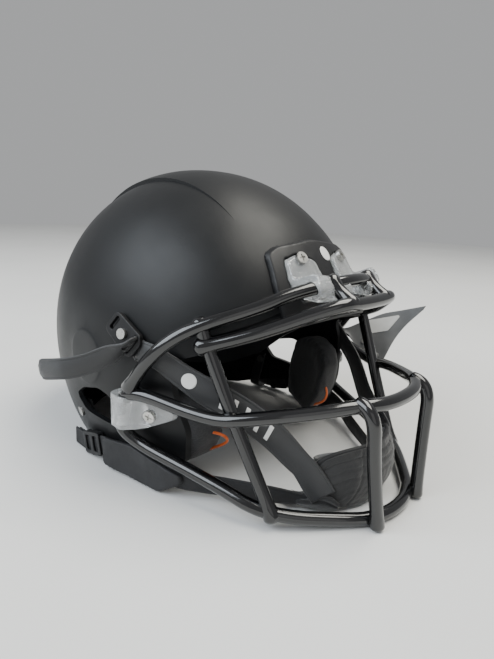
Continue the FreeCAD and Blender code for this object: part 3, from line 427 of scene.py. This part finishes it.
loop = [POST_MIDDLE] + both_halves(MAIN_BAR) + sided([POST_MIDDLE], 1) + both_halves(CHIN_BAR)[::-1]
tube("mask_loop_wire", smooth_line(loop, closed=True), WIRE, "wire", closed=True, body=ROOT,
     slot="mask_black", replaces=("mask_main_bar", "mask_chin_bar"))
tube("mask_upper_brow_wire", smooth_line(both_halves(UPPER_BROW_BAR)), WIRE, "wire",
     flare=(1, 1), body=ROOT, slot="mask_black", replaces=("mask_upper_brow_bar",))
tube("mask_lower_brow_wire", smooth_line(both_halves(LOWER_BROW_BAR)), WIRE, "wire",
     flare=(1, 1), body=ROOT, slot="mask_black", replaces=("mask_lower_brow_bar",))
for side, sign in SIDES.items():
    tube("mask_side_wire_" + side, smooth_line(sided(SIDE_VERTICAL, sign)), WIRE, "wire",
         flare=(1, 1), body=ROOT, slot="mask_black", replaces=("mask_side_vertical_" + side,))
    tube("mask_front_wire_" + side, smooth_line(sided(FRONT_VERTICAL, sign)), WIRE, "wire",
         flare=(0, 0.4), body=ROOT, slot="mask_black", replaces=("mask_front_vertical_" + side,))
    tube("mask_brow_link_" + side, smooth_line(sided(BROW_TIE, sign)), WIRE, "wire",
         flare=(1, 1), body=ROOT, slot="mask_black", replaces=("mask_brow_tie_" + side,))

# ------------------------------------------------------------------ softened hard parts
def softened(name, node, body, voxel, smoothing, material=None):
    """A node's mesh made again from small voxels, so that its edges are rounded as if moulded."""
    source = frame["nodes"][node]
    mesh = source.data.copy()
    mesh.name = name
    piece = bpy.data.objects.new(name, mesh)
    bpy.context.scene.collection.objects.link(piece)
    remesh = piece.modifiers.new("remesh", "REMESH")
    remesh.mode = "VOXEL"
    remesh.voxel_size = voxel / 1000
    remesh.use_smooth_shade = True
    smooth = piece.modifiers.new("smooth", "SMOOTH")
    smooth.factor = 0.5
    smooth.iterations = smoothing
    bake_modifiers(piece)
    if material:
        paint(piece, material)
    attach(piece, body)
    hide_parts(node)
    return piece


def bake_modifiers(piece):
    """Put the result of a piece's modifiers in its mesh."""
    bpy.context.view_layer.update()
    seen = piece.evaluated_get(bpy.context.evaluated_depsgraph_get())
    mesh = bpy.data.meshes.new_from_object(seen)
    old = piece.data
    piece.modifiers.clear()
    piece.data = mesh
    bpy.data.meshes.remove(old)
    mesh.name = piece.name


# ------------------------------------------------------------------ sheets
def slab(name, top, bottom, material, **ride):
    """A closed sheet between two grids of points in mm, joined around their border."""
    rows, columns = len(top), len(top[0])
    verts = [point / 1000 for grid in (top, bottom) for row in grid for point in row]
    under = rows * columns
    faces = []
    for i in range(rows - 1):
        for j in range(columns - 1):
            a = i * columns + j
            quad = (a, a + 1, a + columns + 1, a + columns)
            faces.append(quad)
            faces.append(tuple(under + k for k in reversed(quad)))
    border = [j for j in range(columns)]
    border += [i * columns + columns - 1 for i in range(1, rows)]
    border += [(rows - 1) * columns + j for j in range(columns - 2, -1, -1)]
    border += [i * columns for i in range(rows - 2, 0, -1)]
    for a, b in zip(border, border[1:] + border[:1]):
        faces.append((b, a, under + a, under + b))
    return new_piece(name, verts, faces, material, **ride)


def disc_grid(place, radius, lift, steps=10):
    """A round patch of points; place(u, v, lift) gives a point of the surface it lies on."""
    grid = []
    for i in range(steps + 1):
        v = 2 * i / steps - 1
        row = []
        for j in range(steps + 1):
            u = 2 * j / steps - 1
            row.append(place(radius * u * math.sqrt(1 - v * v / 2),
                             radius * v * math.sqrt(1 - u * u / 2), lift))
        grid.append(row)
    return grid


def bar_grid(place, middle, size, slant, lift, steps=6):
    """A slanted bar-shaped patch of points about a middle (u, v) of a surface."""
    grid = []
    for i in range(steps + 1):
        v = (i / steps - 0.5) * size[1]
        grid.append([place(middle[0] + (j / steps - 0.5) * size[0] + slant * v, middle[1] + v, lift)
                     for j in range(steps + 1)])
    return grid


# ------------------------------------------------------------------ straps
STRAP = 1.8
SPAN_STEPS = 8
EDGE_PROFILE = [(0, 0), (0.12, 0.5), (0.45, 0.88), (0.9, 1), (1.5, 1), (1.8, 0.74), (2.1, 1)]


def curve_between(before, start, end, after, share):
    """A Catmull-Rom curve through start and end."""
    return 0.5 * (2 * start + (end - before) * share
                  + (2 * before - 5 * start + 4 * end - after) * share ** 2
                  + (3 * start - before - 3 * end + after) * share ** 3)


def filled_in(values, steps=SPAN_STEPS):
    """Values with steps - 1 more between each two, on a smooth curve through them."""
    ends = [2 * values[0] - values[1]] + values + [2 * values[-1] - values[-2]]
    found = []
    for i in range(1, len(ends) - 2):
        found += [curve_between(*ends[i - 1:i + 3], k / steps) for k in range(steps)]
    return found + [values[-1]]


class Strap:
    """A flat strap in mm through stations of (middle, direction it faces, width)."""

    def __init__(self, stations, steps=SPAN_STEPS):
        self.middles = filled_in([Vector(s[0]) for s in stations], steps)
        self.widths = filled_in([float(s[2]) for s in stations], steps)
        self.normals, self.across = [], []
        facings = filled_in([Vector(s[1]).normalized() for s in stations], steps)
        for i, facing in enumerate(facings):
            along = (self.middles[min(i + 1, len(facings) - 1)] - self.middles[max(i - 1, 0)])
            side = along.cross(facing).normalized()
            self.across.append(side)
            self.normals.append(side.cross(along).normalized())
        self.reach = [0.0]
        for a, b in zip(self.middles, self.middles[1:]):
            self.reach.append(self.reach[-1] + (b - a).length)

    def at(self, distance, sideways, lift):
        """A point this far along the strap, this far from its middle line and off its mid-plane."""
        i = 0
        while i < len(self.reach) - 2 and self.reach[i + 1] < distance:
            i += 1
        share = (distance - self.reach[i]) / (self.reach[i + 1] - self.reach[i])
        middle = self.middles[i].lerp(self.middles[i + 1], share)
        side = self.across[i].lerp(self.across[i + 1], share)
        return middle + side * sideways + self.normals[i].lerp(self.normals[i + 1], share) * lift

    def piece(self, name, material, thickness=STRAP, round_end=0.0, **ride):
        """The strap as a closed mesh with rounded sides and a pressed line inside each edge."""
        total = self.reach[-1]
        verts, faces = [], []
        for i, middle in enumerate(self.middles):
            left = total - self.reach[i]
            width = self.widths[i]
            if left < round_end:
                width -= 2 * (round_end - math.sqrt(round_end ** 2 - (round_end - left) ** 2))
            section = strap_section(width, thickness)
            verts += [(middle + self.across[i] * a + self.normals[i] * n) / 1000
                      for a, n in section]
        size = len(section)
        for i in range(len(self.middles) - 1):
            for k in range(size):
                m = (k + 1) % size
                faces.append((i * size + k, i * size + m, (i + 1) * size + m, (i + 1) * size + k))
        faces.append(tuple(range(size))[::-1])
        faces.append(tuple(range(len(verts) - size, len(verts))))
        return new_piece(name, verts, faces, material, **ride)


def strap_section(width, thickness):
    half, top = width / 2, thickness / 2
    upper = [(half - inset, height * top) for inset, height in EDGE_PROFILE]
    upper += [(0, 1.04 * top)] + [(-a, n) for a, n in upper[::-1]]
    return upper + [(a, -n) for a, n in upper[-2:0:-1]]


UPPER_STRAPS = {
    "right": [
        ((-110.2, -31, 101.4), (-0.95, -0.28, 0.12), 15),
        ((-107, -44, 99.5), (-0.95, -0.28, 0.12), 15),
        ((-102.5, -54, 94.4), (-0.92, -0.36, 0.13), 16),
        ((-97, -62.6, 88.1), (-0.89, -0.43, 0.14), 17),
        ((-89, -75.1, 80.3), (-0.85, -0.48, 0.15), 19),
        ((-76, -92.7, 69.4), (-0.82, -0.52, 0.15), 20),
        ((-64, -109.7, 55.8), (-0.84, -0.50, 0.05), 20),
        ((-54, -123.7, 39.5), (-0.85, -0.48, -0.10), 19),
        ((-50.3, -129.1, 33.4), (-0.85, -0.47, -0.15), 19),
        ((-46.4, -134.6, 24.0), (-0.80, -0.59, -0.09), 19),
        ((-43.5, -140.0, 15.5), (-0.74, -0.66, -0.09), 18)],
    "left": [
        ((109.6, -31, 101), (0.95, -0.28, 0.12), 15),
        ((107.9, -38, 89), (0.93, -0.30, -0.05), 15),
        ((102.8, -52, 77.5), (0.91, -0.40, -0.08), 16),
        ((97, -67.4, 66.5), (0.90, -0.42, -0.10), 17),
        ((92, -77.5, 56.4), (0.88, -0.46, -0.10), 19),
        ((81.5, -92.8, 42), (0.85, -0.48, -0.15), 19),
        ((71.5, -109.7, 31.6), (0.84, -0.50, -0.15), 19),
        ((61, -125.7, 24.6), (0.80, -0.56, -0.12), 19),
        ((52, -132.8, 22.3), (0.75, -0.62, -0.10), 19),
        ((44.5, -139.6, 20.5), (0.72, -0.68, -0.09), 18)]}
upper_straps = {}
for side, stations in UPPER_STRAPS.items():
    strap = upper_straps[side] = Strap(stations)
    piece = strap.piece("upper_strap_" + side + "_web", "strap", slot="webbing_black",
                        replaces=("upper_strap_" + side, "cup_strap_ends_upper"))
    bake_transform(piece)

# the strap goes under each buckle and up through its front slot
STUD = {side: side_point(sign, -18, 110.4) for side, sign in SIDES.items()}
BUCKLE_BASE = 1.7


def buckle_frame(side):
    """The middle of a buckle's underside, its long direction, its width and its normal, in mm."""
    sign = SIDES[side]
    normal = outward(STUD[side])
    width = normal.cross(Vector((-sign * 0.10, -0.79, -0.60))).normalized()
    return STUD[side] + normal * BUCKLE_BASE, width.cross(normal), width, normal


TAIL = [((-122, -19.2, 99.4), (0.35, 0.85, 0.25), 14.5),
        ((-128, -13.6, 95.0), (0.50, 0.75, 0.05), 15),
        ((-135, -8.6, 91.4), (0.50, 0.75, 0.0), 15), ((-144, -1.4, 88.4), (0.62, 0.66, 0.0), 15),
        ((-149.5, 6.0, 86.9), (0.78, 0.55, 0.0), 15), ((-154, 21.6, 83.4), (0.93, 0.25, 0.0), 15)]
FOLDED_BACK = [(12.5, 5.2, 13.6), (17, 4.4, 14), (24, 3.0, 14.6), (31, 2.2, 15)]
for side in SIDES:
    origin, forward, width, normal = buckle_frame(side)

    def station(reach, rise, facing, wide):
        """A strap station in a buckle's plane of length and height."""
        return (origin + forward * reach + normal * rise,
                forward * facing[0] + normal * facing[1], wide)

    stations = [station(18.5, 0.2, (0, -1), 15), station(14.5, -0.6, (0.1, -1), 14.5),
                station(11.4, -0.4, (-0.5, -0.85), 14), station(9.9, 1.4, (-1, -0.15), 13.6),
                station(9.6, 3.6, (-1, 0), 13.6)]
    if side == "right":
        stations += [station(9.4, 5.6, (-1, 0.1), 13.8)] + TAIL
        rest = 4.0
    else:
        stations += [station(10.6, 5.4, (-0.6, 0.8), 13.6)]
        stations += [station(reach, rise, (0.15, 1), wide) for reach, rise, wide in FOLDED_BACK]
        rest = 3.0
    loop = Strap(stations)
    piece = loop.piece("buckle_loop_" + side, "strap", round_end=rest, slot="webbing_black",
                       replaces=("upper_strap_tail_right",) if side == "right" else ())
    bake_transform(piece)

# plain white marks printed on the near strap
marked = upper_straps["right"]
MARK_LIFT = STRAP / 2 + 0.10


def on_strap(distance):
    """The printed face of the near strap about a place on its middle line."""
    return lambda u, v, lift: marked.at(distance + u, v, lift)


def print_mark(name, grid_at, body, **ride):
    slab(name, grid_at(MARK_LIFT), grid_at(MARK_LIFT - 0.25), "white", body=body, **ride)


print_mark("strap_dot", lambda lift: disc_grid(on_strap(41), 5.2, lift), ROOT, slot="label_white")
for i in range(5):
    print_mark("strap_bar_%d" % (i + 1), lambda lift: bar_grid(
        on_strap(66 + 9 * i), (0, 0), (3.0, 10.5), 0.25, lift), ROOT, slot="label_white")

# ------------------------------------------------------------------ lower straps
LOWER_STRAP = [
    ((111.5, 57, 8.6), (1, 0, 0), 14), ((111.5, 50, 8.5), (1, 0, 0), 14),
    ((111.5, 43, 8.5), (1, 0, 0), 14), ((111.5, 29, 12), (1, 0, 0), 14),
    ((111.5, 20, 14.25), (1, 0, 0), 14), ((111.5, 11, 16.2), (1, 0, 0), 14),
    ((109.3, -2, 16.3), (0.99, -0.13, 0), 14), ((105.8, -20, 15.3), (0.98, -0.19, 0), 14),
    ((101.3, -46, 14.3), (0.96, -0.28, 0), 14), ((95.7, -61, 13.2), (0.88, -0.47, 0), 14),
    ((78, -84, 11.4), (0.80, -0.60, 0), 14), ((58, -111.6, 9.8), (0.79, -0.61, 0), 12),
    ((47.8, -125, 8.8), (0.80, -0.60, -0.1), 9), ((43.2, -134.5, 8.2), (0.76, -0.55, -0.30), 8.5),
    ((39.0, -139.5, 8.3), (0.70, -0.62, -0.30), 8.5)]
for side, sign in SIDES.items():
    stations = [((sign * x, y, z), (sign * u, v, w), wide)
                for (x, y, z), (u, v, w), wide in LOWER_STRAP]
    piece = Strap(stations, 6).piece("lower_strap_" + side + "_web", "lower_strap",
                                     slot="webbing_black", round_end=4.0,
                                     replaces=("lower_strap_" + side, "cup_strap_ends_lower"))
    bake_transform(piece)

# ------------------------------------------------------------------ chin cup
CUP_MIDDLE = Vector((0, -112, 24))
CUP_HALF_WIDTH = 46.0
CUP_AXES = (52.0, 46.0, 41.0)


def cup_point(x, z, lift=0.0):
    """The chin cup's surface seen from the front at x and z, moved out by lift, in mm."""
    width, depth, height = (axis + lift for axis in CUP_AXES)
    reach = 1 - (x / width) ** 2 - ((z - CUP_MIDDLE.z) / height) ** 2
    return Vector((x, CUP_MIDDLE.y - depth * math.sqrt(max(0.0, reach)), z))


def cup_top(x):
    return 28 + 17 * math.sqrt(max(0.0, 1 - abs(x / CUP_HALF_WIDTH) ** 4))


def cup_bottom(x):
    return 3.6 + 0.8 * (x / CUP_HALF_WIDTH) ** 2


def cup_grid(half_width, lift, margin, rows=56, columns=120):
    """Rows of points of the cup from its bottom edge to its top edge; lift(x, up) in mm."""
    grid = []
    widest = math.asin(half_width / CUP_AXES[0])
    for i in range(rows + 1):
        up = 0.5 - 0.5 * math.cos(math.pi * i / rows)
        row = []
        for j in range(columns + 1):
            x = CUP_AXES[0] * math.sin(widest * (2 * j / columns - 1))
            low, high = cup_bottom(x) + margin, cup_top(x) - margin
            row.append(cup_point(x, low + (high - low) * up, lift(x, low + (high - low) * up)))
        grid.append(row)
    return grid


def groove(distance, width, depth):
    return -depth * math.exp(-(distance / width) ** 2)


def wrinkle(point, size, height):
    return height * noise.noise(Vector(point) / size)


def cup_outside(x, z):
    """The cover's face: three sewn channels under the rim, a seam each side, and soft creases."""
    down = cup_top(x) - z
    lift = 0.35 + 0.5 * math.sin(math.pi * min(1, down / 30))
    for place in (5.0, 10.5, 16.5):
        lift += groove(down - place, 0.8, 0.85)
    lift += groove(abs(x) - 17 - 0.22 * down, 0.7, 0.6)
    edge = min(down, z - cup_bottom(x), CUP_HALF_WIDTH - abs(x) + 1)
    lift += 0.9 * math.exp(-(edge / 2.2) ** 2)
    lift += wrinkle((x, z * 0.6, abs(x) * 0.3), 9, 0.55) + wrinkle((x + z, z - x, 4), 5, 0.3)
    return lift


def cup_inside(x, z):
    return -1.6


slab("chin_cup_cover", cup_grid(CUP_HALF_WIDTH, cup_outside, 0.0),
     cup_grid(CUP_HALF_WIDTH, cup_inside, 0.0), "cup", body=CUP, slot="cup_black",
     replaces=("chin_cup_shell",))
outer = cup_grid(CUP_HALF_WIDTH, lambda x, z: -0.5, 0.0, 40, 80)
rim = (outer[-1] + [row[-1] for row in outer[-2:0:-1]] + outer[0][::-1]
       + [row[0] for row in outer[1:-1]])
tube("chin_cup_rim", rim, 1.5, "lower_strap", closed=True, segments=12, body=CUP, slot="cup_black")


def lining_face(x, z):
    """The lining's quilted face, puffed between its sewn lines."""
    across = abs(math.sin(math.pi * (x + 40) / 16))
    up = abs(math.sin(math.pi * (z - 6) / 12))
    return -4.6 - 2.6 * (across * up) ** 0.4


lining = slab("chin_cup_lining", cup_grid(41, lambda x, z: -2.0, 2.4),
              cup_grid(41, lining_face, 2.4), "foam", body=CUP, slot="foam_black",
              replaces=("chin_cup_pad",))

FLAP_HALF_ANGLE = (0.66, 1.13)
for side, sign in SIDES.items():
    layers = []
    for lift_low in (2.1, 3.5):
        grid = []
        for i in range(17):
            up = i / 16
            row = []
            for j in range(25):
                share = j / 24
                angle = FLAP_HALF_ANGLE[0] + (FLAP_HALF_ANGLE[1] - FLAP_HALF_ANGLE[0]) * share
                x = sign * (CUP_AXES[0] + lift_low) * math.sin(angle)
                top = 7.5 + 9.0 * math.sin(math.pi * (0.12 + 0.8 * share)) ** 1.5
                z = 2.9 + (top - 2.9) * up
                fold = 0.9 * math.sin(math.pi * up) + groove(up - 0.55 - 0.3 * share, 0.09, 0.9)
                row.append(cup_point(x, z, lift_low + fold + wrinkle((x, z, lift_low), 6, 0.4)))
            grid.append(row)
        layers.append(grid)
    slab("chin_cup_flap_" + side, layers[1], layers[0], "cup", body=CUP, slot="cup_black")

# ------------------------------------------------------------------ moulded parts
softened("front_bumper_plate", "front_bumper", ROOT, 0.75, 5, "bumper")
softened("rear_bumper_plate", "rear_bumper", ROOT, 0.9, 6, "bumper")
for side in SIDES:
    softened("forehead_clip_" + side + "_body", "forehead_clip_" + side, ROOT, 0.5, 5, "clear")
    softened("side_clip_" + side + "_body", "side_clip_" + side, ROOT, 0.5, 6, "clear")
    softened("buckle_plate_" + side, "upper_buckle_" + side, BUCKLE[side], 0.35, 5, "plastic")
    softened("guard_sheet_" + side, "lower_strap_guard_" + side, ROOT, 0.7, 8, "lower_strap")
    softened("slider_frame_" + side, "lower_slider_" + side, SLIDER[side], 0.4, 4, "plastic")
    softened("anchor_tape_" + side, "lower_strap_anchor_" + side, ROOT, 0.5, 4, "strap")

BROW_DOT_MIDDLE = (7, 166.5)
BROW_DOT_RADIUS = 4.6


def brow_point(u, v, rise):
    """A place on the front bumper, measured from its printed dot's middle."""
    return front_point(u + BROW_DOT_MIDDLE[0], v + BROW_DOT_MIDDLE[1], rise)


slab("bumper_dot", disc_grid(brow_point, BROW_DOT_RADIUS, 4.16),
     disc_grid(brow_point, BROW_DOT_RADIUS, 3.8), "white", body=ROOT, slot="label_white")

# ------------------------------------------------------------------ liner pads
def puffed(name, node, voxel=3.2, swell=2.2, smoothing=10):
    """A pad from its node's shape: remeshed, rounded, then blown up as cloth by its filling."""
    source = frame["nodes"][node]
    mesh = source.data.copy()
    piece = bpy.data.objects.new(name, mesh)
    bpy.context.scene.collection.objects.link(piece)
    remesh = piece.modifiers.new("remesh", "REMESH")
    remesh.mode = "VOXEL"
    remesh.voxel_size = voxel / 1000
    smooth = piece.modifiers.new("smooth", "SMOOTH")
    smooth.factor = 0.5
    smooth.iterations = smoothing
    bake_modifiers(piece)
    start = [v.co.copy() for v in piece.data.vertices]
    cloth = piece.modifiers.new("cloth", "CLOTH")
    cloth.settings.use_pressure = True
    cloth.settings.uniform_pressure_force = 4
    cloth.settings.effector_weights.gravity = 0
    for step in range(1, 13):
        bpy.context.scene.frame_set(step)
    bake_modifiers(piece)
    bpy.context.scene.frame_set(1)
    for vertex, origin in zip(piece.data.vertices, start):
        move = vertex.co - origin
        if move.length > swell / 1000:
            vertex.co = origin + move.normalized() * swell / 1000
    piece.modifiers.new("finer", "SUBSURF").levels = 1
    bake_modifiers(piece)
    for polygon in piece.data.polygons:
        polygon.use_smooth = True
    paint(piece, "foam")
    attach(piece, ROOT)
    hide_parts(node)
    return piece


for name in ("crown_pad", "front_pad", "rear_pad", "side_pad_right", "side_pad_left"):
    puffed(name + "_cushion", name)
for side in SIDES:
    puffed("jaw_cushion_" + side, "jaw_pad_" + side, voxel=2.6)

# ------------------------------------------------------------------ fit cords
FIT_CORD = [(80, -42, 38.5), (71.5, -58, 41.5), (61.5, -68, 37.5), (59, -65, 29), (66, -46, 19)]
for side, sign in SIDES.items():
    tube("fit_cord_loop_" + side, smooth_line([(sign * x, y, z) for x, y, z in FIT_CORD]), 1.1,
         "orange", segments=12, body=ROOT, slot="cord_orange", replaces=("fit_cord_" + side,))

# ------------------------------------------------------------------ floor, light and camera
floor = new_piece("floor", [mm(x, y, 0) for x, y in ((-3000, -3000), (3000, -3000), (3000, 3000),
                                                     (-3000, 3000))], [(0, 1, 2, 3)], "white")
floor_nodes = shader("floor_paper", Roughness=0.9)
floor_nodes.link(floor_nodes.ramp(floor_nodes.noise(3, 3), [(0.3, (0.70, 0.70, 0.69)),
                                                            (0.7, (0.74, 0.74, 0.73))]),
                 floor_nodes.shader.inputs["Base Color"])
floor.data.materials.clear()
floor.data.materials.append(floor_nodes.material)

world = bpy.data.worlds.new("studio")
world.use_nodes = True
world.node_tree.nodes["Background"].inputs["Color"].default_value = (0.80, 0.81, 0.82, 1)
world.node_tree.nodes["Background"].inputs["Strength"].default_value = 0.52
bpy.context.scene.world = world


def area_light(name, place, aim, size, power, colour):
    light = bpy.data.lights.new(name, "AREA")
    light.shape = "RECTANGLE"
    light.size, light.size_y = size
    light.energy = power
    light.color = colour
    holder = bpy.data.objects.new(name, light)
    bpy.context.scene.collection.objects.link(holder)
    holder.location = mm(*place)
    holder.rotation_euler = (mm(*aim) - mm(*place)).to_track_quat("-Z", "Y").to_euler()
    return holder


area_light("window", (-1500, 500, 1300), (0, 0, 100), (1.8, 1.4), 50, (0.86, 0.93, 1.0))
area_light("ceiling", (500, -500, 1900), (0, 0, 100), (1.8, 1.0), 52, (1.0, 0.98, 0.90))
area_light("fill", (-900, -1600, 700), (0, 0, 80), (1.2, 1.2), 2.5, (1.0, 0.99, 0.97))

AZIMUTH, ELEVATION, ROLL = (math.radians(a) for a in CAMERA_ANGLES)
back = Vector((math.sin(AZIMUTH) * math.cos(ELEVATION), -math.cos(AZIMUTH) * math.cos(ELEVATION),
               math.sin(ELEVATION)))
right = (-back).cross(Vector((0, 0, 1))).normalized()
up = right.cross(-back)
across = right * math.cos(ROLL) + up * math.sin(ROLL)
upright = up * math.cos(ROLL) - right * math.sin(ROLL)
lens = bpy.data.cameras.new("camera")
lens.lens = CAMERA_LENS
lens.sensor_width = SENSOR_WIDTH
camera = bpy.data.objects.new("camera", lens)
bpy.context.scene.collection.objects.link(camera)
turn = Matrix((across, upright, back)).transposed().to_4x4()
camera.matrix_world = Matrix.Translation(mm(*CAMERA_PLACE)) @ turn
bpy.context.scene.camera = camera
